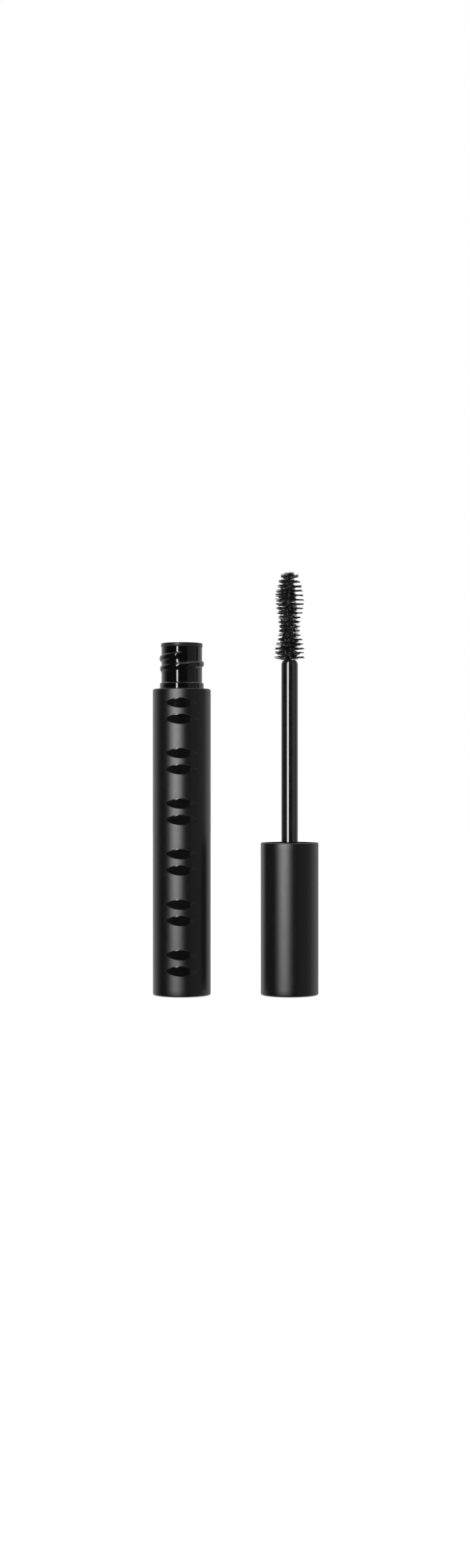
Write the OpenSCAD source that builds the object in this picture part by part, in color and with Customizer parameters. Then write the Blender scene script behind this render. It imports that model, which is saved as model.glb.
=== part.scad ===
// Mascara tube, opened: the tube stands upright, and its wand stands beside it
// upside down on the end of its cap, with the brush at the top.
// The origin is on the ground, midway between the two axes.

/* [Layout] */
// Distance from the tube's axis to the wand's axis
axis_spacing = 31.6; // [26:0.1:60]

/* [Outer sleeve] */
// Outer diameter of the matte sleeve, which the cap continues
tube_d = 17; // [16.6:0.1:22]
// Height of the sleeve, from the ground to its shoulder
sleeve_h = 89.5; // [72:0.1:120]
// Thickness of the sleeve's wall
sleeve_wall = 1.3; // [0.9:0.05:1.6]
// Thickness of the sleeve's flat shoulder
shoulder_t = 1.2; // [0.8:0.1:2]
// Rounding of the sleeve's and the cap's outer edges
edge_r = 0.5; // [0.2:0.05:0.7]

/* [Raised leaves] */
// How many pairs of glossy leaves run down the front of the sleeve
leaf_pairs = 6; // [1:1:6]
// Width of one leaf across the sleeve
leaf_w = 9.6; // [6:0.1:11]
// Height of one leaf along the sleeve
leaf_h = 2.9; // [1.5:0.1:3.5]
// Distance between the middles of a pair's two leaves
leaf_spacing = 4.7; // [4:0.1:5.5]
// Distance from the shoulder down to the middle of the highest pair
leaf_drop = 6.6; // [5:0.1:10]
// Height of the middle of the lowest pair above the ground
leaf_rise = 9.9; // [5:0.1:12]
// How far a leaf stands out from the sleeve's surface
leaf_raise = 0.25; // [0.1:0.05:0.4]

/* [Base] */
// How far the base plug sits above the ground inside the sleeve's foot
base_recess = 0.5; // [0.3:0.05:1]
// Thickness of the base plug's disc
base_disc_t = 1.2; // [0.8:0.1:2]
// Height of the base plug's skirt, which the bottle stands on
base_skirt_h = 1; // [0.5:0.1:3]
// Thickness of the base plug's skirt
base_skirt_wall = 0.9; // [0.6:0.1:1.5]
// Thickness of the blank round label
label_t = 0.12; // [0.08:0.01:0.2]
// Rim left bare around the label
label_margin = 0.6; // [0.3:0.1:2]

/* [Inner bottle] */
// Thickness of the bottle's wall
bottle_wall = 1.1; // [0.8:0.05:1.4]
// Thickness of the bottle's floor
bottle_floor = 1.2; // [0.8:0.1:2]
// Thickness of the bottle's shoulder
bottle_shoulder = 1.4; // [1:0.1:2.5]
// Outer diameter of the neck
neck_d = 11.95; // [9.9:0.05:12.2]
// Height of the neck above the sleeve's shoulder
neck_h = 12.25; // [11:0.05:15]
// Thickness of the neck's wall
neck_wall = 1.375; // [1:0.005:1.5]
// How far the collar at the neck's foot stands out from the neck
collar_step = 0.475; // [0.4:0.005:0.55]
// Height of the collar above the sleeve's shoulder
collar_h = 1.9; // [1:0.1:2.4]
// Chamfer on the collar's upper edge
collar_chamfer = 0.35; // [0.1:0.05:0.4]

/* [Thread] */
// Rise of the right-hand thread in one turn
thread_pitch = 3.1; // [2.8:0.02:3.8]
// How many turns the thread makes
thread_turns = 1.3; // [1:0.1:1.5]
// Height of the thread's ridge above the neck
thread_depth = 0.57; // [0.4:0.01:0.6]
// Width of the ridge at its root
thread_root_w = 1.9; // [1.4:0.05:1.9]
// Width of the ridge at its crest
thread_crest_w = 1.1; // [0.6:0.05:1.2]
// Height of the thread's start above the sleeve's shoulder
thread_rise = 5.7; // [4.5:0.1:6.5]
// Direction from the axis in which the thread starts
thread_start_angle = 172; // [0:1:360]

/* [Wiper] */
// How far the wiper's flange stands out from the neck that it caps
wiper_flange_step = 0.125; // [0:0.005:0.3]
// Thickness of the wiper's flange
wiper_flange_t = 1.15; // [0.8:0.05:1.5]
// Thickness of the wiper's wall
wiper_wall = 0.6; // [0.4:0.05:0.9]
// Length of the wiper below its flange
wiper_len = 12; // [9:0.5:14]
// Length of the cone at the wiper's lower end
wiper_cone_h = 3; // [2:0.1:4]

/* [Formula] */
// Empty height between the paste and the vault of the bottle
fill_gap = 11.5; // [4:0.5:30]
// Clearance between the brush and the channel that it leaves in the paste
channel_clear = 0.2; // [0.1:0.05:0.4]
// Depth of the channel below the tip of the closed brush
channel_below_tip = 1.2; // [0.5:0.1:2]
// Height of the closed brush's tip above the bottle's floor
tip_gap = 6.3; // [2.5:0.1:12]

/* [Cap] */
// Height of the cap
cap_h = 44.6; // [36:0.1:55]
// Thickness of the cap's wall
cap_wall = 1; // [0.7:0.05:1.1]
// Thickness of the cap's closed end
cap_end_t = 1.4; // [1:0.1:3]

/* [Inner cap] */
// How far the inner cap's rim sits below the cap's mouth
inner_rim_recess = 0.4; // [0.2:0.05:1]
// Thickness of the deck that carries the seal washer
deck_t = 1.5; // [1:0.1:3]
// Thickness of the socket's wall around the stem
socket_wall = 1.3; // [0.8:0.1:2]
// How deep the stem goes into its socket below the deck
socket_depth = 14; // [8:0.5:18]
// Thickness of the socket's floor
socket_floor = 1.5; // [1:0.1:3]
// How many ribs join the socket to the skirt
rib_count = 4; // [3:1:6]
// Thickness of one rib
rib_t = 1; // [0.6:0.1:1.5]

/* [Seal washer] */
// Thickness of the seal washer
washer_t = 1; // [0.6:0.1:1.5]
// Gap between the seal washer's edge and the inner cap's bore
washer_side_gap = 0.5; // [0.2:0.05:0.8]

/* [Stem] */
// Diameter of the stem
stem_d = 4.87; // [4:0.01:5.2]
// Length of the tapered end of the stem
stem_taper_h = 1.4; // [0.8:0.1:3]
// Diameter of the stem where the brush leaves it
stem_tip_d = 2.9; // [2.2:0.1:3.6]
// How deep the brush's wire goes into the stem
wire_hole_depth = 8; // [5:0.5:12]

/* [Brush] */
// Diameter of the twisted wire
wire_d = 0.9; // [0.7:0.05:1.2]
// Length of the brush
brush_len = 25.9; // [21:0.1:30]
// Diameter of the flare at the brush's foot
flare_d = 9.2; // [7.6:0.02:11.2]
// Height of the straight part of the flare
flare_h = 2; // [1:0.1:3]
// Diameter of the waist
waist_d = 6.6; // [5:0.1:8]
// Height of the waist above the brush's foot
waist_h = 9.3; // [7:0.1:11]
// Diameter of the belly
belly_d = 8.8; // [7:0.1:9.2]
// Height of the belly above the brush's foot
belly_h = 17.5; // [14:0.1:20]

/* [Fits] */
// Radial clearance of pieces that slide or press into one another
fit_clear = 0.05; // [0.02:0.01:0.1]
// Radial clearance between the two threads
thread_clear = 0.2; // [0.15:0.01:0.3]
// Clearance along the axis between the two threads' flanks
flank_clear = 0.2; // [0.1:0.05:0.25]
// Gap left around the washer, which is free to turn
washer_gap = 0.05; // [0.05:0.01:0.1]
// Gap between the stem and the washer or the wiper's hole
stem_clear = 0.12; // [0.08:0.01:0.25]

/* [Hidden] */
$fn = 96;

// A cutter reaches this far past the face that it cuts through.
over = 1;
// Joined shapes reach this far into one another.
bite = 0.3;

matte_black = "#1c1c1d";
gloss_black = "#0d0d0e";
soft_black = "#262627";
paste_black = "#050505";
label_grey = "#b9b9b6";
steel_grey = "#8c8f92";

// The tube, from the ground up
leaf_pitch = (sleeve_h - leaf_drop - leaf_rise) / max(1, leaf_pairs - 1);
sleeve_bore_r = tube_d / 2 - sleeve_wall;
base_disc_z = base_recess;
base_skirt_z = base_disc_z + base_disc_t;
bottle_z = base_skirt_z + base_skirt_h;
bottle_top_z = sleeve_h - shoulder_t;
bottle_r = sleeve_bore_r - fit_clear;
bottle_bore_r = bottle_r - bottle_wall;
bottle_floor_z = bottle_z + bottle_floor;
bottle_vault_z = bottle_top_z - bottle_shoulder;
neck_top_z = sleeve_h + neck_h;
lip_top_z = neck_top_z + wiper_flange_t;
neck_r = neck_d / 2;
neck_bore_r = neck_r - neck_wall;
collar_r = neck_r + collar_step;
thread_crest_r = neck_r + thread_depth;
stem_r = stem_d / 2;
stem_hole_r = stem_r + stem_clear;
wiper_r = neck_bore_r - fit_clear;
wiper_low_z = neck_top_z - wiper_len;

// The wand, from the ground up
deck_top_z = cap_h - (lip_top_z - sleeve_h) - washer_t - 2 * washer_gap;
deck_low_z = deck_top_z - deck_t;
socket_low_z = deck_top_z - socket_depth;
inner_skirt_r = tube_d / 2 - cap_wall - fit_clear;
inner_bore_r = thread_crest_r + thread_clear;
inner_crest_r = neck_r + thread_clear;
inner_thread_rise = thread_rise - thread_pitch / 2;
inner_root_w = thread_pitch - thread_crest_w - 2 * flank_clear;
inner_crest_w = thread_pitch - thread_root_w - 2 * flank_clear;
closed_tip_z = bottle_floor_z + tip_gap;
wand_top_z = cap_h + sleeve_h - closed_tip_z;
brush_z = wand_top_z - brush_len;
wire_low_z = brush_z - wire_hole_depth;
wire_tip = 0.4;

// The paste and its channel
vault_rise = bottle_bore_r - neck_bore_r;
fill_top_z = bottle_vault_z - vault_rise - fill_gap;
channel_r = max(flare_d, belly_d) / 2 + channel_clear;
channel_floor_z = closed_tip_z - channel_below_tip;

// Places a shape on the tube's axis.
module on_tube() translate([-axis_spacing / 2, 0, 0]) children();

// Places a shape on the wand's axis.
module on_wand() translate([axis_spacing / 2, 0, 0]) children();

// A ring or a disc between two heights.
module ring(outer_r, inner_r, z_low, z_high)
    translate([0, 0, z_low]) difference() {
        cylinder(r = outer_r, h = z_high - z_low);
        if (inner_r > 0)
            translate([0, 0, -over]) cylinder(r = inner_r, h = z_high - z_low + 2 * over);
    }

// A drum standing on the ground whose two outer edges are rounded.
module rounded_drum(drum_r, drum_h, corner_r)
    rotate_extrude() {
        square([drum_r - corner_r, drum_h]);
        translate([0, corner_r]) square([drum_r, drum_h - 2 * corner_r]);
        for (z = [corner_r, drum_h - corner_r])
            translate([drum_r - corner_r, z]) circle(r = corner_r, $fn = 48);
    }

// A pointed oval: the part that two equal circles share.
module pointed_oval(w, h) {
    arc_r = (w * w + h * h) / (4 * h);
    intersection() {
        translate([0, arc_r - h / 2]) circle(r = arc_r);
        translate([0, h / 2 - arc_r]) circle(r = arc_r);
    }
}

// A ridge that winds up a cylinder, from its root radius to its crest radius,
// and fades out at both ends.
module helix_ridge(root_r, crest_r, root_w, crest_w, pitch, turns, start_angle) {
    ring_step = 10;
    fade_angle = 20;
    last = round(turns * 360 / ring_step);
    lead = root_r + (crest_r > root_r ? -bite : bite);
    function fade(a) = min(1, max(0.08, a / fade_angle));
    function reach(i) = min(fade(i * ring_step), fade((last - i) * ring_step));
    points = [
        for (i = [0:last])
            let (
                a = start_angle + i * ring_step,
                z = i * ring_step / 360 * pitch,
                r = root_r + (crest_r - root_r) * reach(i)
            )
            each [
                [lead * cos(a), lead * sin(a), z - root_w / 2],
                [r * cos(a), r * sin(a), z - crest_w / 2],
                [r * cos(a), r * sin(a), z + crest_w / 2],
                [lead * cos(a), lead * sin(a), z + root_w / 2]
            ]
    ];
    sides = [
        for (i = [0:last - 1], k = [0:3])
            let (a = 4 * i + k, b = 4 * i + (k + 1) % 4)
            each [[a, b, b + 4], [a, b + 4, a + 4]]
    ];
    ends = [[0, 2, 1], [0, 3, 2], [4 * last, 4 * last + 1, 4 * last + 2],
            [4 * last, 4 * last + 2, 4 * last + 3]];
    faces = concat(sides, ends);
    polyhedron(points = points,
               faces = crest_r < root_r ? [for (f = faces) [f[0], f[2], f[1]]] : faces);
}

// Half-width of the brush at a height above its foot: a straight flare,
// a smooth waist, a belly and a domed tip.
function ease(t) = (1 - cos(180 * t)) / 2;
function brush_r(h) =
    h <= flare_h ? flare_d / 2
    : h <= waist_h ? flare_d / 2
        + (waist_d - flare_d) / 2 * ease((h - flare_h) / (waist_h - flare_h))
    : h <= belly_h ? waist_d / 2
        + (belly_d - waist_d) / 2 * ease((h - waist_h) / (belly_h - waist_h))
    : belly_d / 2 * sqrt(max(0, 1 - pow((h - belly_h) / (brush_len - belly_h), 2)));

// Pairs of leaves on the front of the sleeve, which follow its round surface.
module leaves()
    intersection() {
        ring(tube_d / 2 + leaf_raise, tube_d / 2 - bite, 0, sleeve_h);
        for (i = [0:leaf_pairs - 1], side = [-1, 1])
            translate([0, 0, sleeve_h - leaf_drop - i * leaf_pitch + side * leaf_spacing / 2])
                rotate([90, 0, 0])
                    linear_extrude(height = tube_d) pointed_oval(leaf_w, leaf_h);
    }

// Matte sleeve: a drum with raised leaves, bored from below, with a hole in its shoulder
// for the collar.
module outer_sleeve()
    color(matte_black) on_tube() {
        difference() {
            rounded_drum(tube_d / 2, sleeve_h, edge_r);
            translate([0, 0, -over]) cylinder(r = sleeve_bore_r, h = bottle_top_z + over);
            cylinder(r = collar_r + fit_clear, h = sleeve_h + over);
        }
        leaves();
    }

// Base plug: a disc set back inside the sleeve's foot, with a skirt that carries the bottle.
module base_plug()
    color(soft_black) on_tube() {
        ring(bottle_r, 0, base_disc_z, base_skirt_z);
        ring(bottle_r, bottle_r - base_skirt_wall, base_disc_z, bottle_z);
    }

// Blank round label under the base plug.
module base_label()
    color(label_grey) on_tube()
        ring(bottle_r - label_margin, 0, base_disc_z - label_t, base_disc_z);

// Bottle with its threaded neck.
module inner_bottle()
    color(gloss_black) on_tube() {
        collar_top = sleeve_h + collar_h;
        rotate_extrude() polygon([
            [0, bottle_z],
            [bottle_r, bottle_z],
            [bottle_r, bottle_top_z],
            [collar_r, bottle_top_z],
            [collar_r, collar_top - collar_chamfer],
            [collar_r - collar_chamfer, collar_top],
            [neck_r, collar_top],
            [neck_r, neck_top_z],
            [neck_bore_r, neck_top_z],
            [neck_bore_r, bottle_vault_z],
            [bottle_bore_r, bottle_vault_z - vault_rise],
            [bottle_bore_r, bottle_floor_z],
            [0, bottle_floor_z]
        ]);
        translate([0, 0, sleeve_h + thread_rise])
            helix_ridge(neck_r, thread_crest_r, thread_root_w, thread_crest_w,
                        thread_pitch, thread_turns, thread_start_angle);
    }

// Wiper: a flange on the neck's rim, and a sleeve in its bore that ends in a cone
// with a hole just wider than the stem.
module wiper()
    color(soft_black) on_tube() rotate_extrude() polygon([
        [wiper_r - wiper_wall, lip_top_z],
        [neck_r + wiper_flange_step, lip_top_z],
        [neck_r + wiper_flange_step, neck_top_z],
        [wiper_r, neck_top_z],
        [wiper_r, wiper_low_z + wiper_cone_h],
        [stem_hole_r + wiper_wall, wiper_low_z],
        [stem_hole_r, wiper_low_z],
        [wiper_r - wiper_wall, wiper_low_z + wiper_cone_h]
    ]);

// Mascara paste, with the channel that the brush leaves when it is drawn out.
module formula()
    color(paste_black) on_tube() difference() {
        ring(bottle_bore_r, 0, bottle_floor_z, fill_top_z);
        translate([0, 0, channel_floor_z]) cylinder(r = channel_r, h = sleeve_h);
    }

// Matte cap, closed at the ground and open at the top.
module cap_shell()
    color(matte_black) on_wand() difference() {
        rounded_drum(tube_d / 2, cap_h, edge_r);
        translate([0, 0, cap_end_t]) cylinder(r = tube_d / 2 - cap_wall, h = cap_h);
    }

// Inner cap: threaded skirt, deck, socket for the stem and the ribs that stand on the cap's end.
module inner_cap()
    color(gloss_black) on_wand() {
        socket_r = stem_r + fit_clear + socket_wall;
        foot_z = socket_low_z - socket_floor;
        ring(inner_skirt_r, inner_bore_r, deck_low_z, cap_h - inner_rim_recess);
        ring(inner_skirt_r, stem_r + fit_clear, deck_low_z, deck_top_z);
        ring(socket_r, stem_r + fit_clear, socket_low_z, deck_top_z);
        ring(socket_r, 0, foot_z, socket_low_z);
        for (i = [0:rib_count - 1])
            rotate([0, 0, i * 360 / rib_count])
                intersection() {
                    translate([socket_r - bite, -rib_t / 2, cap_end_t])
                        cube([inner_skirt_r, rib_t, deck_low_z - cap_end_t + bite]);
                    ring(inner_skirt_r, 0, 0, cap_h);
                }
        ring(socket_r, socket_r - socket_wall, cap_end_t, foot_z + bite);
        translate([0, 0, cap_h - inner_thread_rise - thread_turns * thread_pitch])
            helix_ridge(inner_bore_r, inner_crest_r, inner_root_w, inner_crest_w,
                        thread_pitch, thread_turns, thread_start_angle);
    }

// Seal washer: lies on the deck, and the neck's lip closes against it.
module seal_washer()
    color(soft_black) on_wand()
        ring(inner_bore_r - washer_side_gap, stem_hole_r, deck_top_z + washer_gap,
             deck_top_z + washer_gap + washer_t);

// Stem: a rod with a tapered end and a hole for the brush's wire.
module stem()
    color(gloss_black) on_wand() rotate_extrude() polygon([
        [0, socket_low_z],
        [stem_r, socket_low_z],
        [stem_r, brush_z - stem_taper_h],
        [stem_r - (stem_r - stem_tip_d / 2) / 3, brush_z - stem_taper_h / 2],
        [stem_tip_d / 2, brush_z],
        [wire_d / 2, brush_z],
        [wire_d / 2, wire_low_z],
        [0, wire_low_z]
    ]);

// Twisted wire, drawn as the rod that it fills.
module wire_core()
    color(steel_grey) on_wand()
        ring(wire_d / 2, 0, wire_low_z, wand_top_z - wire_tip);

// Bristles, drawn as the solid shape that their tips make.
module bristles() {
    steps = 26;
    color(paste_black) on_wand() translate([0, 0, brush_z]) difference() {
        rotate_extrude() polygon([
            [0, 0],
            for (i = [0:steps])
                let (h = brush_len * i / steps)
                if (h < brush_len) [brush_r(h), h],
            [0, brush_len]
        ]);
        translate([0, 0, -over]) cylinder(r = wire_d / 2, h = brush_len - wire_tip + over);
    }
}

outer_sleeve();
base_plug();
base_label();
inner_bottle();
wiper();
formula();
cap_shell();
inner_cap();
seal_washer();
stem();
wire_core();
bristles();
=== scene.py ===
"""Looks of an open mascara: a matte black tube with raised glossy leaves and a threaded neck,
and its wand standing beside it upside down on its cap, with a twisted-wire brush at the top."""

import math
import random

import bpy
import numpy as np
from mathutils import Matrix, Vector


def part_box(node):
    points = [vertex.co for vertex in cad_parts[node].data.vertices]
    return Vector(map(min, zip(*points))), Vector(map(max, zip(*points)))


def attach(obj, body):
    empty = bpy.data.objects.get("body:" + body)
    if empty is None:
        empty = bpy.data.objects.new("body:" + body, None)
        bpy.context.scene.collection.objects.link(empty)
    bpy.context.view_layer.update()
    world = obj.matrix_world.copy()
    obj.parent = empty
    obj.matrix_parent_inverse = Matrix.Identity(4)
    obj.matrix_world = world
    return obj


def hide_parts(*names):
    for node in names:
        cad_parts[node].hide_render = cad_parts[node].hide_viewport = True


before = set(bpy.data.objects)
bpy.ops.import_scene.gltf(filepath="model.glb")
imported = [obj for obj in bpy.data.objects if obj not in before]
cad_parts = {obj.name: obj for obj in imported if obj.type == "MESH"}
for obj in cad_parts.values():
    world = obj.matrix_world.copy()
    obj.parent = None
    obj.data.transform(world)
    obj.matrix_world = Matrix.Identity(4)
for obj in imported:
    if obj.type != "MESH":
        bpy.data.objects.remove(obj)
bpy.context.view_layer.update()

MM = 0.001
SEED = 11

# ---------------------------------------------------------------- sizes, in millimetres


def node_size(node):
    """Axis x, radius, lowest and highest z of a round upright CAD node, in millimetres."""
    low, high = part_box(node)
    return (low.x + high.x) / 2 / MM, (high.x - low.x) / 2 / MM, low.z / MM, high.z / MM


TUBE_X, TUBE_R, _, SLEEVE_H = node_size("outer_sleeve")
_, PLUG_R, PLUG_Z, BOTTLE_Z = node_size("base_plug")
_, LABEL_R, LABEL_Z, _ = node_size("base_label")
_, BOTTLE_R, _, NECK_TOP_Z = node_size("inner_bottle")
_, FLANGE_R, WIPER_LOW_Z, LIP_TOP_Z = node_size("wiper")
_, PASTE_R, BOTTLE_FLOOR_Z, PASTE_TOP_Z = node_size("formula")
WAND_X, CAP_R, _, CAP_H = node_size("cap_shell")
_, INNER_SKIRT_R, CAP_END_T, INNER_RIM_Z = node_size("inner_cap")
_, WASHER_R, WASHER_LOW_Z, WASHER_TOP_Z = node_size("seal_washer")
_, STEM_R, SOCKET_LOW_Z, BRUSH_Z = node_size("stem")
_, WIRE_R, WIRE_LOW_Z, WIRE_TOP_Z = node_size("wire_core")
_, BRUSH_R, _, BRUSH_TOP_Z = node_size("bristles")

# From here on the sizes are those that no node's box shows, with the values of the CAD.
EDGE_R = 0.5
SLEEVE_WALL = 1.3
SHOULDER_T = 1.2
CAP_WALL = 1.0
FIT = 0.05

LEAF_PAIRS = 6
LEAF_W = 9.6
LEAF_H = 2.9
LEAF_SPACING = 4.7
LEAF_DROP = 6.6
LEAF_RISE = 9.9
LEAF_RAISE = 0.25

PLUG_DISC_T = 1.2
PLUG_SKIRT_WALL = 0.9
BOTTLE_WALL = 1.1
BOTTLE_SHOULDER = 1.4
NECK_R = 5.975
NECK_WALL = 1.375
COLLAR_STEP = 0.475
COLLAR_H = 1.9
COLLAR_CHAMFER = 0.35
NECK_BORE_R = NECK_R - NECK_WALL
UNDER_SHOULDER_Z = SLEEVE_H - SHOULDER_T

THREAD_PITCH = 3.1
THREAD_TURNS = 1.3
THREAD_DEPTH = 0.57
THREAD_ROOT_W = 1.9
THREAD_CREST_W = 1.1
THREAD_RISE = 5.7
THREAD_START = math.radians(172)
THREAD_CLEAR = 0.2
FLANK_CLEAR = 0.2

WIPER_WALL = 0.6
WIPER_CONE_H = 3.0
STEM_CLEAR = 0.12
CHANNEL_R = BRUSH_R + 0.2
CHANNEL_FLOOR_Z = BOTTLE_FLOOR_Z + 5.1

DECK_T = 1.5
SOCKET_WALL = 1.3
SOCKET_FLOOR = 1.5
DECK_TOP_Z = WASHER_LOW_Z - FIT
RIB_COUNT = 4
RIB_T = 1.0

STEM_TIP_R = 1.45
STEM_TAPER_H = 1.4

FLARE_H = 2.0
WAIST_R = 3.3
WAIST_H = 9.3
BELLY_R = 4.4
BELLY_H = 17.5
BRUSH_LEN = BRUSH_TOP_Z - BRUSH_Z

# The sizes below belong to the looks alone.
COLUMNS = 128
WALL_STEP = 1.5
THREAD_FADE = math.radians(26)
THREAD_CREST_POWER = 2.2
THREAD_FLANK_POWER = 0.6
LEAF_POINTS = 80

TWIST_PITCH = 2.6
FIBRE_R = 0.078
FIBRE_THINNING = 0.45
FIBRE_BEND_POWER = 1.6
FIBRE_SIDES = 4
FIBRE_POINTS = 5
FIBRE_FOOT = 0.12
FIBRE_LAST = BRUSH_LEN - 0.85
FIBRE_TOP = BRUSH_LEN - 0.12
FAN_H = 3.0
FIBRE_ROWS = 2
CLUMP_ANGLE = math.radians(15)
CLUMP_FIBRES = 7
SHORT_FIBRES = 1700
CORE_FOOT_R = 2.9
CORE_LAST_R = 1.5

# ---------------------------------------------------------------- mesh helpers


def mesh_piece(name, verts, faces, smooth_angle=35.0):
    """A piece from vertices in millimetres and faces, smooth-shaded except at sharp edges."""
    mesh = bpy.data.meshes.new(name)
    mesh.from_pydata((np.asarray(verts, float) * MM).tolist(), [], faces)
    mesh.validate()
    mesh.shade_smooth()
    mesh.set_sharp_from_angle(angle=math.radians(smooth_angle))
    piece = bpy.data.objects.new(name, mesh)
    bpy.context.scene.collection.objects.link(piece)
    return piece


def rounded(corners, arc_steps=5, closed=True):
    """An outline of (r, z) points from corners (r, z, fillet radius). Fillets become arcs."""
    points = []
    count = len(corners)
    for i, (r, z, fillet) in enumerate(corners):
        here = np.array([r, z])
        at_end = not closed and i in (0, count - 1)
        if fillet <= 0 or at_end:
            points.append((r, z))
            continue
        before = np.array(corners[i - 1][:2]) - here
        after = np.array(corners[(i + 1) % count][:2]) - here
        a, b = before / np.linalg.norm(before), after / np.linalg.norm(after)
        half = math.acos(float(np.clip(a @ b, -1, 1))) / 2
        reach = fillet / math.tan(half)
        centre = here + (a + b) / np.linalg.norm(a + b) * fillet / math.sin(half)
        start, end = here + a * reach - centre, here + b * reach - centre
        turn = math.acos(float(np.clip(start @ end / fillet**2, -1, 1)))
        for k in range(arc_steps + 1):
            t = k / arc_steps
            arm = (math.sin((1 - t) * turn) * start + math.sin(t * turn) * end) / math.sin(turn)
            points.append(tuple(centre + arm))
    return points


def densified(outline, r_wall, z_low, z_high, step):
    """The outline with extra points along its wall at radius r_wall between two heights."""
    out = []
    for (r0, z0), (r1, z1) in zip(outline, outline[1:] + outline[:1]):
        out.append((r0, z0))
        on_wall = abs(r0 - r_wall) < 1e-6 and abs(r1 - r_wall) < 1e-6
        if on_wall and min(z0, z1) < z_high and max(z0, z1) > z_low:
            n = max(1, round(abs(z1 - z0) / step))
            out += [(r_wall, z0 + (z1 - z0) * k / n) for k in range(1, n)]
    return out


def lathe(name, outline, axis_x, closed=True, columns=COLUMNS, radius=None, smooth_angle=35.0):
    """The outline turned about an upright axis. An open outline starts and ends on the axis.
    radius(theta, r, z) may move a point in or out."""
    angles = np.arange(columns) * 2 * math.pi / columns
    verts, rings = [], []
    for r, z in outline:
        if r < 1e-6:
            rings.append([len(verts)] * columns)
            verts.append((axis_x, 0.0, z))
            continue
        rings.append(list(range(len(verts), len(verts) + columns)))
        for a in angles:
            moved_r = radius(a, r, z) if radius else r
            verts.append((axis_x + moved_r * math.cos(a), moved_r * math.sin(a), z))
    faces = []
    for low, high in zip(rings, rings[1:] + (rings[:1] if closed else [])):
        for i in range(columns):
            j = (i + 1) % columns
            face = []
            for v in (low[i], low[j], high[j], high[i]):
                if v not in face:
                    face.append(v)
            if len(face) > 2:
                faces.append(face)
    return mesh_piece(name, verts, faces, smooth_angle)


def tube_along(path, radii, sides):
    """Vertices and faces of a closed tube along a path of points, with a radius at each point."""
    path = np.asarray(path, float)
    along = np.gradient(path, axis=0)
    along /= np.linalg.norm(along, axis=1)[:, None]
    upright = abs(along[0][2]) >= 0.8
    reference = np.array([1.0, 0.0, 0.0]) if upright else np.array([0.0, 0.0, 1.0])
    verts = []
    for point, way, radius in zip(path, along, radii):
        side = np.cross(way, reference)
        side /= np.linalg.norm(side)
        up = np.cross(side, way)
        for k in range(sides):
            a = 2 * math.pi * k / sides
            verts.append(point + radius * (math.cos(a) * side + math.sin(a) * up))
    faces = [list(range(sides))]
    for i in range(len(path) - 1):
        for k in range(sides):
            m = (k + 1) % sides
            faces.append([i * sides + k, (i + 1) * sides + k, (i + 1) * sides + m, i * sides + m])
    last = (len(path) - 1) * sides
    faces.append([last + k for k in reversed(range(sides))])
    return verts, faces


def joined(parts):
    """One list of vertices and faces from several."""
    verts, faces = [], []
    for part_verts, part_faces in parts:
        shift = len(verts)
        verts.extend(part_verts)
        faces.extend([[v + shift for v in face] for face in part_faces])
    return verts, faces


def smoothstep(t):
    """Rises softly from 0 to 1 as t does, and stays there."""
    t = min(1.0, max(0.0, t))
    return t * t * (3 - 2 * t)


def ridge_height(theta, z, start_z, root_w):
    """Height, from 0 to 1, of a right-hand thread's rounded ridge at an angle and a height."""
    height = 0.0
    total = THREAD_TURNS * 2 * math.pi
    for turn in range(-1, 3):
        wound = theta - THREAD_START + turn * 2 * math.pi
        middle = start_z + wound / (2 * math.pi) * THREAD_PITCH
        across = 2 * abs(z - middle) / root_w
        if not 0 <= wound <= total or across >= 1:
            continue
        side = (1 - across ** THREAD_CREST_POWER) ** THREAD_FLANK_POWER
        ends = smoothstep(min(wound, total - wound) / THREAD_FADE)
        height = max(height, side * ends)
    return height


def ease(t):
    """Rises from 0 to 1 along half a cosine wave."""
    return (1 - math.cos(math.pi * t)) / 2


def brush_radius(h):
    """Half-width of the brush at a height above its foot: flare, waist, belly and domed tip."""
    if h <= FLARE_H:
        return BRUSH_R
    if h <= WAIST_H:
        return BRUSH_R + (WAIST_R - BRUSH_R) * ease((h - FLARE_H) / (WAIST_H - FLARE_H))
    if h <= BELLY_H:
        return WAIST_R + (BELLY_R - WAIST_R) * ease((h - WAIST_H) / (BELLY_H - WAIST_H))
    return BELLY_R * math.sqrt(max(0.0, 1 - ((h - BELLY_H) / (BRUSH_LEN - BELLY_H)) ** 2))


# ---------------------------------------------------------------- materials


# Most of a noise texture's values lie between the first two.
NOISE_LOW = 0.3
NOISE_HIGH = 0.7
NOISE_ROUGHNESS = 0.55


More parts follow.
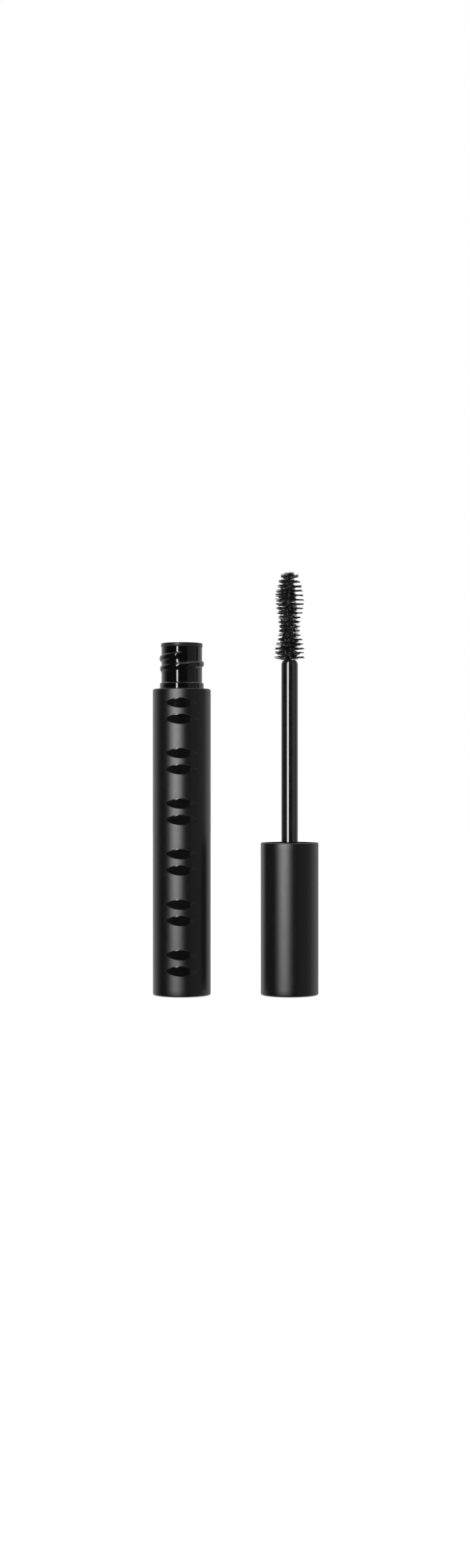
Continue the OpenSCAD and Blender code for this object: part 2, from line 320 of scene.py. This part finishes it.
class Finish:
    """A procedural material: a Principled shader whose inputs come from noise in millimetres."""

    def __init__(self, name):
        self.material = bpy.data.materials.new(name)
        self.material.use_nodes = True
        self.tree = self.material.node_tree
        self.shader = self.tree.nodes["Principled BSDF"]
        self.coords = self.tree.nodes.new("ShaderNodeTexCoord").outputs["Object"]

    def set(self, **values):
        """Numbers that are the same all over, set on the shader's own sockets."""
        for key, value in values.items():
            self.shader.inputs[key.replace("_", " ")].default_value = value
        return self

    def noise(self, size_mm, detail):
        """Noise whose blobs are about size_mm across, with finer noise in them."""
        node = self.tree.nodes.new("ShaderNodeTexNoise")
        node.inputs["Scale"].default_value = 1 / (size_mm * MM)
        node.inputs["Detail"].default_value = detail
        node.inputs["Roughness"].default_value = NOISE_ROUGHNESS
        self.tree.links.new(self.coords, node.inputs["Vector"])
        return node.outputs["Fac"]

    def spots(self, size_mm):
        """Distance to scattered points about size_mm apart."""
        node = self.tree.nodes.new("ShaderNodeTexVoronoi")
        node.inputs["Scale"].default_value = 1 / (size_mm * MM)
        self.tree.links.new(self.coords, node.inputs["Vector"])
        return node.outputs["Distance"]

    def colour(self, value, dark, light, low=NOISE_LOW, high=NOISE_HIGH):
        """Colour that goes from dark, where the value is low, to light, where it is high."""
        ramp = self.tree.nodes.new("ShaderNodeValToRGB")
        ramp.color_ramp.elements[0].position = low
        ramp.color_ramp.elements[0].color = (*dark, 1)
        ramp.color_ramp.elements[1].position = high
        ramp.color_ramp.elements[1].color = (*light, 1)
        self.tree.links.new(value, ramp.inputs["Fac"])
        self.tree.links.new(ramp.outputs["Color"], self.shader.inputs["Base Color"])
        return self

    def roughness(self, value, smooth, rough):
        """Roughness that follows the value from smooth to rough."""
        node = self.tree.nodes.new("ShaderNodeMapRange")
        node.inputs["From Min"].default_value = NOISE_LOW
        node.inputs["From Max"].default_value = NOISE_HIGH
        node.inputs["To Min"].default_value = smooth
        node.inputs["To Max"].default_value = rough
        self.tree.links.new(value, node.inputs["Value"])
        self.tree.links.new(node.outputs["Result"], self.shader.inputs["Roughness"])
        return self

    def bump(self, value, depth_mm, strength=1.0):
        """Adds relief of about depth_mm. A second call goes on top of the first."""
        node = self.tree.nodes.new("ShaderNodeBump")
        node.inputs["Distance"].default_value = depth_mm * MM
        node.inputs["Strength"].default_value = strength
        self.tree.links.new(value, node.inputs["Height"])
        normal = self.shader.inputs["Normal"]
        if normal.is_linked:
            self.tree.links.new(normal.links[0].from_socket, node.inputs["Normal"])
        self.tree.links.new(node.outputs["Normal"], normal)
        return self


def grey(value):
    """Grey with a trace of blue."""
    return (value, value, value * 1.04)


def soft_touch(name, rough_low, rough_high):
    """Soft-touch lacquer: deep black, satin, with a very fine grain."""
    f = Finish(name)
    f.colour(f.noise(0.35, 5), grey(0.0008), grey(0.0020))
    f.roughness(f.noise(1.6, 4), rough_low, rough_high)
    f.bump(f.noise(0.16, 2), 0.003).bump(f.noise(5.0, 1), 0.010, 0.5)
    return f.set(IOR=1.5).material


def gloss_lacquer(name, rough_low, rough_high):
    """Glossy moulded black plastic: faintly uneven, with smudges that dull its gloss."""
    f = Finish(name)
    f.colour(f.noise(2.5, 3), grey(0.0022), grey(0.0040))
    f.roughness(f.noise(1.2, 4), rough_low, rough_high)
    f.bump(f.noise(7.0, 1), 0.003, 0.4)
    return f.set(IOR=1.5).material


def satin_plastic(name, rough_low, rough_high):
    """Satin moulded plastic with a light texture."""
    f = Finish(name)
    f.colour(f.noise(0.9, 4), grey(0.009), grey(0.016))
    f.roughness(f.noise(0.6, 4), rough_low, rough_high)
    f.bump(f.noise(0.2, 3), 0.006)
    return f.set(IOR=1.48).material


def washer_foam(name):
    """Dark closed-cell foam with a pitted surface."""
    f = Finish(name)
    f.colour(f.noise(0.5, 4), grey(0.016), grey(0.04))
    f.roughness(f.noise(0.5, 3), 0.78, 0.92)
    f.bump(f.spots(0.22), 0.03, 0.8)
    return f.material


def label_film(name):
    """Pale satin label film."""
    f = Finish(name)
    f.colour(f.noise(1.2, 5), (0.52, 0.52, 0.50), (0.60, 0.60, 0.58))
    f.roughness(f.noise(0.7, 4), 0.34, 0.46)
    f.bump(f.noise(0.12, 4), 0.002)
    return f.material


def wet_paste(name):
    """Deep black paste with a wet shine and a lumpy surface."""
    f = Finish(name)
    f.colour(f.noise(1.5, 4), grey(0.002), grey(0.005))
    f.roughness(f.noise(0.9, 4), 0.12, 0.34)
    f.bump(f.noise(0.7, 5), 0.05)
    return f.set(IOR=1.45).material


def coated_wire(name):
    """Steel wire darkened by the paste that it has been dipped in."""
    f = Finish(name)
    f.colour(f.noise(0.5, 5), grey(0.012), grey(0.16), low=0.4, high=0.75)
    f.roughness(f.noise(0.3, 4), 0.28, 0.5)
    f.bump(f.noise(0.1, 3), 0.004)
    return f.set(Metallic=0.8).material


def fibre_nylon(name, painted_glint=0.02):
    """Black nylon fibre, dotted with painted glints: lighter grey spots in its colour where its
    ends would catch the light.
    """
    f = Finish(name)
    # Painted highlight: scattered spots about a millimetre apart get a lighter grey in the fibre's
    # colour, standing in for the light caught by the fibres' ends.
    f.colour(f.spots(1.0), grey(painted_glint), grey(0.006), low=0.20, high=0.34)
    f.roughness(f.noise(0.3, 4), 0.28, 0.46)
    f.bump(f.noise(0.06, 3), 0.004)
    return f.set(IOR=1.53).material


def finish_piece(piece, body, node, material):
    """Gives a piece its material, says what it rides on and hides the CAD node that it replaces.
    """
    piece.data.materials.append(material)
    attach(piece, body)
    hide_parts(node)
    return piece


# ---------------------------------------------------------------- the tube


def sleeve():
    """Matte sleeve: a drum that is open below, with a hole in its shoulder for the collar."""
    bore_r = TUBE_R - SLEEVE_WALL
    hole_r = NECK_R + COLLAR_STEP + FIT
    outline = rounded([
        (TUBE_R, 0, EDGE_R), (TUBE_R, SLEEVE_H, EDGE_R), (hole_r, SLEEVE_H, 0.12),
        (hole_r, UNDER_SHOULDER_Z, 0.1), (bore_r, UNDER_SHOULDER_Z, 0.25), (bore_r, 0, 0.15),
    ], arc_steps=7)
    outline = densified(outline, TUBE_R, 0, SLEEVE_H, WALL_STEP)
    piece = lathe("tube_sleeve", outline, TUBE_X)
    material = soft_touch("sleeve_lacquer", 0.30, 0.34)
    return finish_piece(piece, "tube", "outer_sleeve", material)


def leaf_points(grow):
    """Points round a pointed oval, from its right tip upwards, pushed out by grow."""
    arc_r = (LEAF_W**2 + LEAF_H**2) / (4 * LEAF_H)
    centre = arc_r - LEAF_H / 2
    arc = arc_r + grow
    tip = math.asin(centre / arc)
    half = LEAF_POINTS // 2
    points = []
    for k in range(LEAF_POINTS):
        side, step = divmod(k, half)
        a = tip + (math.pi - 2 * tip) * step / half
        x, z = arc * math.cos(a), arc * math.sin(a) - centre
        points.append((x, z) if side == 0 else (-x, -z))
    return points


def leaf_section():
    """A raised leaf's section from behind the sleeve's surface to its face:
    (push out of the outline, height above the surface)."""
    foot = 0.08
    edge = 0.12
    root = -0.2
    steps = 4
    quarter = [math.pi / 2 * k / steps for k in range(steps + 1)]
    heel = [(foot * (1 - math.sin(a)), foot * (1 - math.cos(a))) for a in quarter]
    lip = [(-edge * (1 - math.cos(a)), LEAF_RAISE - edge * (1 - math.sin(a))) for a in quarter]
    return [(foot, root)] + heel + lip


def leaf(middle):
    """Vertices and faces of one leaf that follows the sleeve's round front."""
    count = LEAF_POINTS
    section = leaf_section()
    rings = [[(x, z, raised) for x, z in leaf_points(grow)] for grow, raised in section]
    # Ovals inside the face's edge, which get narrower faster than they get shorter.
    face_edge = leaf_points(section[-1][0])
    face_rings = (0.96, 0.65, 0.3)
    rings += [[(x * t ** 0.3, z * t, LEAF_RAISE) for x, z in face_edge] for t in face_rings]
    verts = []
    for ring in rings:
        for x, z, raised in ring:
            r = TUBE_R + raised
            verts.append((TUBE_X + x, -math.sqrt(r * r - x * x), middle + z))
    faces = []
    for i in range(len(rings) - 1):
        for k in range(count):
            m = (k + 1) % count
            faces.append([i * count + k, i * count + m, (i + 1) * count + m, (i + 1) * count + k])
    # The first and last rings close as strips across the leaf's long axis.
    last_ring = (len(rings) - 1) * count
    for base, flipped in ((last_ring, False), (0, True)):
        for k in range(count // 2):
            strip = []
            for v in (k, k + 1, (count - k - 1) % count, (count - k) % count):
                if base + v not in strip:
                    strip.append(base + v)
            if len(strip) > 2:
                faces.append(strip[::-1] if flipped else strip)
    return verts, faces


def leaves():
    """Pairs of raised glossy leaves down the front of the sleeve."""
    pitch = (SLEEVE_H - LEAF_DROP - LEAF_RISE) / (LEAF_PAIRS - 1)
    parts = [leaf(SLEEVE_H - LEAF_DROP - i * pitch + side * LEAF_SPACING / 2)
             for i in range(LEAF_PAIRS) for side in (-1, 1)]
    piece = mesh_piece("tube_leaves", *joined(parts), smooth_angle=50)
    material = gloss_lacquer("leaf_lacquer", 0.04, 0.08)
    return finish_piece(piece, "tube", "outer_sleeve", material)


def base_plug():
    """Cup that closes the sleeve's foot: a disc and the skirt that the bottle stands on."""
    disc_top = PLUG_Z + PLUG_DISC_T
    skirt_r = PLUG_R - PLUG_SKIRT_WALL
    outline = rounded([
        (0, PLUG_Z, 0), (PLUG_R, PLUG_Z, 0.18), (PLUG_R, BOTTLE_Z, 0.15),
        (skirt_r, BOTTLE_Z, 0.15), (skirt_r, disc_top, 0.25), (0, disc_top, 0),
    ], closed=False)
    piece = lathe("tube_base_plug", outline, TUBE_X, closed=False)
    material = satin_plastic("base_plastic", 0.36, 0.48)
    return finish_piece(piece, "tube", "base_plug", material)


def base_label():
    """Blank round label under the base plug."""
    outline = rounded([
        (0, LABEL_Z, 0), (LABEL_R, LABEL_Z, 0.03), (LABEL_R, PLUG_Z, 0.03), (0, PLUG_Z, 0),
    ], arc_steps=3, closed=False)
    piece = lathe("tube_base_label", outline, TUBE_X, closed=False)
    return finish_piece(piece, "tube", "base_label", label_film("label_film"))


def inner_bottle():
    """Glossy bottle. Its thread rises out of the neck's wall in soft fillets."""
    bore_r = BOTTLE_R - BOTTLE_WALL
    collar_r = NECK_R + COLLAR_STEP
    collar_top = SLEEVE_H + COLLAR_H
    vault_z = UNDER_SHOULDER_Z - BOTTLE_SHOULDER
    outline = rounded([
        (0, BOTTLE_Z, 0), (BOTTLE_R, BOTTLE_Z, 0.4), (BOTTLE_R, UNDER_SHOULDER_Z, 0.2),
        (collar_r, UNDER_SHOULDER_Z, 0.1), (collar_r, collar_top - COLLAR_CHAMFER, 0.15),
        (collar_r - COLLAR_CHAMFER, collar_top, 0.12), (NECK_R, collar_top, 0.1),
        (NECK_R, NECK_TOP_Z, 0.1), (NECK_BORE_R, NECK_TOP_Z, 0.1), (NECK_BORE_R, vault_z, 0.6),
        (bore_r, vault_z - (bore_r - NECK_BORE_R), 0.8), (bore_r, BOTTLE_FLOOR_Z, 0.6),
        (0, BOTTLE_FLOOR_Z, 0),
    ], closed=False)
    outline = densified(outline, NECK_R, SLEEVE_H, NECK_TOP_Z, 0.1)
    start_z = SLEEVE_H + THREAD_RISE

    def with_thread(theta, r, z):
        if abs(r - NECK_R) > 1e-6:
            return r
        return r + THREAD_DEPTH * ridge_height(theta, z, start_z, THREAD_ROOT_W)

    piece = lathe("tube_bottle", outline, TUBE_X, closed=False, columns=160,
                  radius=with_thread, smooth_angle=70)
    material = gloss_lacquer("bottle_plastic", 0.06, 0.10)
    return finish_piece(piece, "tube", "inner_bottle", material)


def wiper():
    """Satin flange on the neck's rim, and the tube and cone inside the neck."""
    outer_r = NECK_BORE_R - FIT
    inner_r = outer_r - WIPER_WALL
    hole_r = STEM_R + STEM_CLEAR
    cone_top = WIPER_LOW_Z + WIPER_CONE_H
    outline = rounded([
        (inner_r, LIP_TOP_Z, 0.3), (FLANGE_R, LIP_TOP_Z, 0.3), (FLANGE_R, NECK_TOP_Z, 0.15),
        (outer_r, NECK_TOP_Z, 0.1), (outer_r, cone_top, 0.3),
        (hole_r + WIPER_WALL, WIPER_LOW_Z, 0.15), (hole_r, WIPER_LOW_Z, 0.15),
        (inner_r, cone_top, 0.4),
    ])
    piece = lathe("tube_wiper", outline, TUBE_X)
    material = satin_plastic("wiper_plastic", 0.30, 0.40)
    return finish_piece(piece, "tube", "wiper", material)


def paste():
    """Mascara paste whose channel keeps the marks of the brush."""
    gap = 0.02
    furrow_depth = 0.1
    outline = rounded([
        (0, BOTTLE_FLOOR_Z + gap, 0), (PASTE_R - gap, BOTTLE_FLOOR_Z + gap, 0.6),
        (PASTE_R - gap, PASTE_TOP_Z, 0.2), (CHANNEL_R, PASTE_TOP_Z, 0.2),
        (CHANNEL_R, CHANNEL_FLOOR_Z, 1.0), (0, CHANNEL_FLOOR_Z, 0),
    ], closed=False)
    outline = densified(outline, CHANNEL_R, CHANNEL_FLOOR_Z, PASTE_TOP_Z, 0.5)

    def furrowed(theta, r, z):
        if abs(r - CHANNEL_R) > 1e-6:
            return r
        return r + furrow_depth * math.sin(3 * theta + 2.2 * z) * math.sin(1.3 * z + theta)

    piece = lathe("tube_paste", outline, TUBE_X, closed=False, columns=72, radius=furrowed)
    return finish_piece(piece, "tube", "formula", wet_paste("mascara_paste"))


# ---------------------------------------------------------------- the wand


def cap():
    """Matte outer cap that stands on its closed end, with its mouth upwards."""
    bore_r = CAP_R - CAP_WALL
    outline = rounded([
        (0, 0, 0), (CAP_R, 0, EDGE_R), (CAP_R, CAP_H, EDGE_R * 0.8), (bore_r, CAP_H, 0.25),
        (bore_r, CAP_END_T, 0.4), (0, CAP_END_T, 0),
    ], arc_steps=7, closed=False)
    outline = densified(outline, CAP_R, 0, CAP_H, WALL_STEP)
    piece = lathe("wand_cap", outline, WAND_X, closed=False)
    material = soft_touch("cap_lacquer", 0.29, 0.34)
    return finish_piece(piece, "wand", "cap_shell", material)


def inner_cap():
    """Threaded liner with a deck, the stem's socket and the ribs under the deck."""
    bore_r = NECK_R + THREAD_DEPTH + THREAD_CLEAR
    socket_bore_r = STEM_R + FIT
    socket_r = socket_bore_r + SOCKET_WALL
    deck_low = DECK_TOP_Z - DECK_T
    foot_z = SOCKET_LOW_Z - SOCKET_FLOOR
    outline = rounded([
        (0, SOCKET_LOW_Z, 0), (socket_bore_r, SOCKET_LOW_Z, 0.2),
        (socket_bore_r, DECK_TOP_Z, 0.2), (bore_r, DECK_TOP_Z, 0.3), (bore_r, INNER_RIM_Z, 0.2),
        (INNER_SKIRT_R, INNER_RIM_Z, 0.2), (INNER_SKIRT_R, deck_low, 0.3),
        (socket_r, deck_low, 0.3), (socket_r, CAP_END_T, 0.2), (socket_bore_r, CAP_END_T, 0.2),
        (socket_bore_r, foot_z, 0.2), (0, foot_z, 0),
    ], closed=False)
    outline = densified(outline, bore_r, DECK_TOP_Z, INNER_RIM_Z, 0.12)
    start_z = CAP_H - THREAD_RISE + THREAD_PITCH / 2 - THREAD_TURNS * THREAD_PITCH
    root_w = THREAD_PITCH - THREAD_CREST_W - 2 * FLANK_CLEAR

    def with_thread(theta, r, z):
        if abs(r - bore_r) > 1e-6 or z < DECK_TOP_Z:
            return r
        return r - THREAD_DEPTH * ridge_height(theta, z, start_z, root_w)

    piece = lathe("wand_inner_cap", outline, WAND_X, closed=False, columns=144,
                  radius=with_thread, smooth_angle=60)
    add_ribs(piece, socket_r, deck_low)
    material = gloss_lacquer("inner_cap_plastic", 0.12, 0.2)
    return finish_piece(piece, "wand", "inner_cap", material)


def add_ribs(piece, socket_r, deck_low):
    """Upright ribs with bevelled edges between the socket and the skirt, under the deck."""
    inner = socket_r - 0.2
    outer = INNER_SKIRT_R - 0.02
    bevel = 0.12
    bite = 0.15
    section = [(-RIB_T / 2, CAP_END_T), (RIB_T / 2, CAP_END_T),
               (RIB_T / 2, deck_low + bite), (-RIB_T / 2, deck_low + bite)]
    outline = rounded([(y, z, bevel) for y, z in section], arc_steps=3)
    parts = []
    for i in range(RIB_COUNT):
        a = 2 * math.pi * i / RIB_COUNT
        verts = [
            (WAND_X + x * math.cos(a) - y * math.sin(a), x * math.sin(a) + y * math.cos(a), z)
            for x in (inner, outer) for y, z in outline
        ]
        n = len(outline)
        faces = [[k, (k + 1) % n, n + (k + 1) % n, n + k] for k in range(n)]
        faces += [list(reversed(range(n))), list(range(n, 2 * n))]
        parts.append((verts, faces))
    verts, faces = joined(parts)
    ribs = mesh_piece("ribs", verts, faces)
    bpy.ops.object.select_all(action="DESELECT")
    ribs.select_set(True)
    piece.select_set(True)
    bpy.context.view_layer.objects.active = piece
    bpy.ops.object.join()


def seal_washer():
    """Foam ring that lies on the deck, round the stem."""
    hole_r = STEM_R + STEM_CLEAR
    outline = rounded([
        (WASHER_R, WASHER_LOW_Z, 0.15), (WASHER_R, WASHER_TOP_Z, 0.15),
        (hole_r, WASHER_TOP_Z, 0.1), (hole_r, WASHER_LOW_Z, 0.1),
    ])
    piece = lathe("cap_washer", outline, WAND_X, columns=96)
    material = washer_foam("washer_foam")
    return finish_piece(piece, "seal_washer", "seal_washer", material)


def stem():
    """Glossy rod. Its upper end narrows in a quarter ellipse to where the brush begins."""
    steps = 10
    quarter = [math.pi / 2 * k / steps for k in range(steps + 1)]
    taper = [(STEM_TIP_R + (STEM_R - STEM_TIP_R) * math.cos(a),
              BRUSH_Z - STEM_TAPER_H * (1 - math.sin(a))) for a in quarter]
    outline = rounded([(0, SOCKET_LOW_Z, 0), (STEM_R, SOCKET_LOW_Z, 0.3),
                       (STEM_R, BRUSH_Z - STEM_TAPER_H, 0)], closed=False)[:-1]
    outline += taper
    outline += [(WIRE_R, BRUSH_Z), (WIRE_R, WIRE_LOW_Z), (0, WIRE_LOW_Z)]
    outline = densified(outline, STEM_R, SOCKET_LOW_Z, BRUSH_Z, 2.0)
    piece = lathe("wand_stem", outline, WAND_X, closed=False, columns=80, smooth_angle=50)
    material = gloss_lacquer("stem_plastic", 0.05, 0.08)
    return finish_piece(piece, "wand", "stem", material)


def wire():
    """Two strands wound round one another."""
    strand_r = WIRE_R / 2
    length = WIRE_TOP_Z - WIRE_LOW_Z
    steps_a_turn = 18
    steps = round(length / TWIST_PITCH * steps_a_turn)
    strands = []
    for strand in range(2):
        path = []
        for k in range(steps + 1):
            z = WIRE_LOW_Z + length * k / steps
            a = 2 * math.pi * z / TWIST_PITCH + strand * math.pi
            path.append((WAND_X + strand_r * math.cos(a), strand_r * math.sin(a), z))
        radii = [strand_r * 0.98] * steps + [strand_r * 0.8]
        strands.append(tube_along(path, radii, 8))
    piece = mesh_piece("wand_wire", *joined(strands), smooth_angle=60)
    return finish_piece(piece, "wand", "wire_core", coated_wire("wire_steel"))


def fibre(rng, h, angle, length, tip_shift, lean):
    """One fibre from the wire outwards: it leans with the twist and its tip is pulled aside."""
    path, radii = [], []
    start_r = WIRE_R * 0.6
    for k in range(FIBRE_POINTS):
        t = k / (FIBRE_POINTS - 1)
        r = start_r + (length - start_r) * t
        a = angle + lean * t * t
        z = h + tip_shift * t ** FIBRE_BEND_POWER
        path.append((WAND_X + r * math.cos(a), r * math.sin(a), BRUSH_Z + z))
        radii.append(FIBRE_R * (1 - FIBRE_THINNING * t ** 2) * rng.uniform(0.95, 1.05))
    return tube_along(path, radii, FIBRE_SIDES)


def placed_fibre(rng, h, angle, length, shift, lean):
    """A fibre kept between the brush's foot and top. Near the brush's tip it fans upwards."""
    h = min(FIBRE_LAST, max(FIBRE_FOOT, h))
    fan = smoothstep((h - FIBRE_LAST + FAN_H) / FAN_H) * rng.uniform(0.2, 1.0)
    shift = min(FIBRE_TOP - h, max(FIBRE_FOOT - h, shift + fan))
    return fibre(rng, h, angle, length, shift, lean)


def fibre_reach(h):
    """Longest fibre at a height above the brush's foot."""
    return max(0.7, brush_radius(min(FIBRE_LAST, max(FIBRE_FOOT, h))))


def bristles():
    """Fibres in two rows that wind round the wire, caught together in clumps."""
    rng = random.Random(SEED)
    fibres = []
    turns = (FIBRE_LAST - FIBRE_FOOT) / TWIST_PITCH
    clumps = round(turns * 2 * math.pi / CLUMP_ANGLE)
    for row in range(FIBRE_ROWS):
        for c in range(clumps):
            middle = FIBRE_FOOT + (FIBRE_LAST - FIBRE_FOOT) * (c + 0.5) / clumps
            middle_angle = 2 * math.pi * (BRUSH_Z + middle) / TWIST_PITCH + row * math.pi
            gather = rng.uniform(0.6, 0.95)
            clump_length = rng.uniform(0.9, 1.0)
            lift = rng.gauss(0, 0.10)
            sway = rng.gauss(0, 0.05)
            for _ in range(CLUMP_FIBRES):
                off = rng.uniform(-0.5, 0.5) * CLUMP_ANGLE
                h = middle + off / (2 * math.pi) * TWIST_PITCH + rng.gauss(0, 0.07)
                length = fibre_reach(h) * clump_length * rng.uniform(0.94, 1.0)
                shift = (middle - h) * gather + lift + rng.gauss(0, 0.05)
                angle = middle_angle + off
                fibres.append(placed_fibre(rng, h, angle, length, shift, sway - off * gather))
    piece = mesh_piece("wand_bristles", *joined(fibres), smooth_angle=80)
    return finish_piece(piece, "wand", "bristles", fibre_nylon("fibre_nylon"))


def short_bristles():
    """Shorter fibres that point every way between the rows and fill the brush's core."""
    rng = random.Random(SEED + 1)
    fibres = []
    for _ in range(SHORT_FIBRES):
        t = rng.uniform(0, 1)
        h = FIBRE_FOOT + (FIBRE_LAST - FIBRE_FOOT) * t
        core_r = CORE_FOOT_R + (CORE_LAST_R - CORE_FOOT_R) * t ** 2
        length = min(fibre_reach(h) * 0.9, core_r * rng.uniform(0.75, 1.05))
        angle = rng.uniform(0, 2 * math.pi)
        fibres.append(placed_fibre(rng, h, angle, length, rng.gauss(0, 0.25), rng.gauss(0, 0.15)))
    piece = mesh_piece("wand_short_bristles", *joined(fibres), smooth_angle=80)
    # The short fibres carry bright painted glints: light grey spots painted into their colour.
    return finish_piece(piece, "wand", "bristles",
                        fibre_nylon("fibre_nylon_painted_glints", painted_glint=0.30))


# ---------------------------------------------------------------- studio

# Camera, in millimetres
CAMERA_DISTANCE = 600.0
CAMERA_Z = 61.7
CAMERA_X = -0.2
VIEW_HEIGHT = 459.4
SENSOR = 36.0

# Lamps and floor, in metres
PANEL_TALL = 1.3
FLOOR_SIZE = 4.0

# Azimuths, in degrees to the right of the camera, and the room's brightness there
ROOM_LEVELS = [(-180, 0.75), (-124, 0.95), (-108, 0.36), (-95, 0.10), (-86, 0.004), (30, 0.004),
               (38, 0.24), (72, 0.26), (94, 0.44), (108, 0.80), (150, 0.66), (180, 0.75)]


def camera():
    """Level camera in front of the object, at half the height of the frame."""
    data = bpy.data.cameras.new("camera")
    data.sensor_fit = "AUTO"
    data.sensor_width = SENSOR
    data.lens = SENSOR * CAMERA_DISTANCE / VIEW_HEIGHT
    data.clip_start = 0.01
    view = bpy.data.objects.new("camera", data)
    view.location = (CAMERA_X * MM, -CAMERA_DISTANCE * MM, CAMERA_Z * MM)
    view.rotation_euler = (math.radians(90), 0, 0)
    bpy.context.scene.collection.objects.link(view)
    bpy.context.scene.camera = view


def floor():
    """Plain pale floor under both pieces."""
    bpy.ops.mesh.primitive_grid_add(x_subdivisions=8, y_subdivisions=8, size=FLOOR_SIZE)
    ground = bpy.context.object
    ground.name = "floor"
    f = Finish("floor_paper")
    f.colour(f.noise(40, 3), (0.86, 0.86, 0.86), (0.90, 0.90, 0.90))
    f.set(Roughness=0.9, Emission_Color=(1, 1, 1, 1), Emission_Strength=0.7)
    ground.data.materials.append(f.material)
    ground.visible_glossy = False
    ground.visible_shadow = False


def panel(name, pieces, width, tall, radiance, location, aim):
    """Soft flat lamp of an even radiance. Where pieces are given, it lights only those."""
    data = bpy.data.lights.new(name, "AREA")
    data.shape = "RECTANGLE"
    data.size, data.size_y = width, tall
    data.energy = radiance * math.pi * width * tall
    lamp = bpy.data.objects.new(name, data)
    lamp.location = location
    lamp.rotation_euler = aim
    lamp.visible_camera = False
    bpy.context.scene.collection.objects.link(lamp)
    if pieces:
        lit = bpy.data.collections.new(name + "_lit")
        for piece in pieces:
            lit.objects.link(piece)
        lamp.light_linking.receiver_collection = lit


def strip(name, pieces, azimuth, distance, low_z, width, radiance):
    """Tall upright panel that faces the object. Azimuth 0 is at the camera, and positive ones
    are to its right."""
    a = math.radians(azimuth)
    toward = Vector((math.sin(a), -math.cos(a), 0))
    location = toward * distance + Vector((0, 0, low_z + PANEL_TALL / 2))
    aim = (-toward).to_track_quat("-Z", "Y").to_euler()
    panel(name, pieces, width, PANEL_TALL, radiance, location, aim)


def lights(matte, leaf_piece, tube_inside, wand_inside):
    """A tall strip on the left of each group of pieces, as wide as its highlights need, a weak
    one in front above the glossy ones, and one overhead. The matte pieces' strip is three
    panels, which soften its edges. The leaves' strip stands higher, so that it shows only
    along their upper edges."""
    for k, width in enumerate((0.30, 0.60, 0.90)):
        strip(f"matte_strip_{k}", matte, -23, 0.9 + 0.01 * k,
              low_z=-0.085, width=width, radiance=2.9)
    strip("leaf_strip", leaf_piece, -25, 0.9, low_z=0.17, width=0.14, radiance=34)
    strip("tube_strip", tube_inside, -25, 0.9, low_z=0.115, width=0.11, radiance=20)
    strip("wand_strip", wand_inside, -24, 0.6, low_z=-0.35, width=0.26, radiance=16)
    strip("wand_fill", wand_inside, 58, 0.6, low_z=-0.35, width=0.45, radiance=0.4)
    panel("gloss_front_top", leaf_piece + tube_inside, width=1.0, tall=0.5, radiance=0.5,
          location=(0, -0.6, 0.75), aim=(math.radians(45), 0, 0))
    panel("top", [], width=0.9, tall=0.9, radiance=1.2, location=(0, -0.05, 1.0), aim=(0, 0, 0))


def room_colour(tree):
    """The room's brightness in every direction, from its levels by azimuth."""
    make, link = tree.nodes.new, tree.links.new
    split = make("ShaderNodeSeparateXYZ")
    link(make("ShaderNodeTexCoord").outputs["Generated"], split.inputs[0])
    forward = make("ShaderNodeMath")
    forward.operation = "MULTIPLY"
    forward.inputs[1].default_value = -1
    link(split.outputs["Y"], forward.inputs[0])
    azimuth = make("ShaderNodeMath")
    azimuth.operation = "ARCTAN2"
    link(split.outputs["X"], azimuth.inputs[0])
    link(forward.outputs[0], azimuth.inputs[1])
    share = make("ShaderNodeMapRange")
    share.inputs["From Min"].default_value = -math.pi
    share.inputs["From Max"].default_value = math.pi
    link(azimuth.outputs[0], share.inputs["Value"])
    ramp = make("ShaderNodeValToRGB")
    while len(ramp.color_ramp.elements) < len(ROOM_LEVELS):
        ramp.color_ramp.elements.new(0.5)
    for element, (degrees, level) in zip(ramp.color_ramp.elements, ROOM_LEVELS):
        element.position = (degrees + 180) / 360
        element.color = (level, level, level, 1)
    link(share.outputs["Result"], ramp.inputs["Fac"])
    return ramp.outputs["Color"]


def surroundings():
    """A pale room: bright behind the object, dim in front, with a softly lit wall on the right.
    The camera itself sees plain white."""
    world = bpy.data.worlds.new("studio")
    bpy.context.scene.world = world
    world.use_nodes = True
    tree = world.node_tree
    tree.nodes.clear()
    make, link = tree.nodes.new, tree.links.new
    room = make("ShaderNodeBackground")
    link(room_colour(tree), room.inputs["Color"])
    white = make("ShaderNodeBackground")
    white.inputs["Color"].default_value = (1, 1, 1, 1)
    path = make("ShaderNodeLightPath")
    mix = make("ShaderNodeMixShader")
    link(path.outputs["Is Camera Ray"], mix.inputs["Fac"])
    link(room.outputs[0], mix.inputs[1])
    link(white.outputs[0], mix.inputs[2])
    out = make("ShaderNodeOutputWorld")
    link(mix.outputs[0], out.inputs["Surface"])


# ---------------------------------------------------------------- the scene

camera()
floor()
surroundings()
bpy.context.scene.view_settings.view_transform = "Standard"

matte = [sleeve(), cap()]
leaf_piece = [leaves()]
tube_inside = [base_plug(), base_label(), inner_bottle(), wiper(), paste()]
wand_inside = [inner_cap(), seal_washer(), stem(), wire(), bristles(), short_bristles()]
lights(matte, leaf_piece, tube_inside, wand_inside)
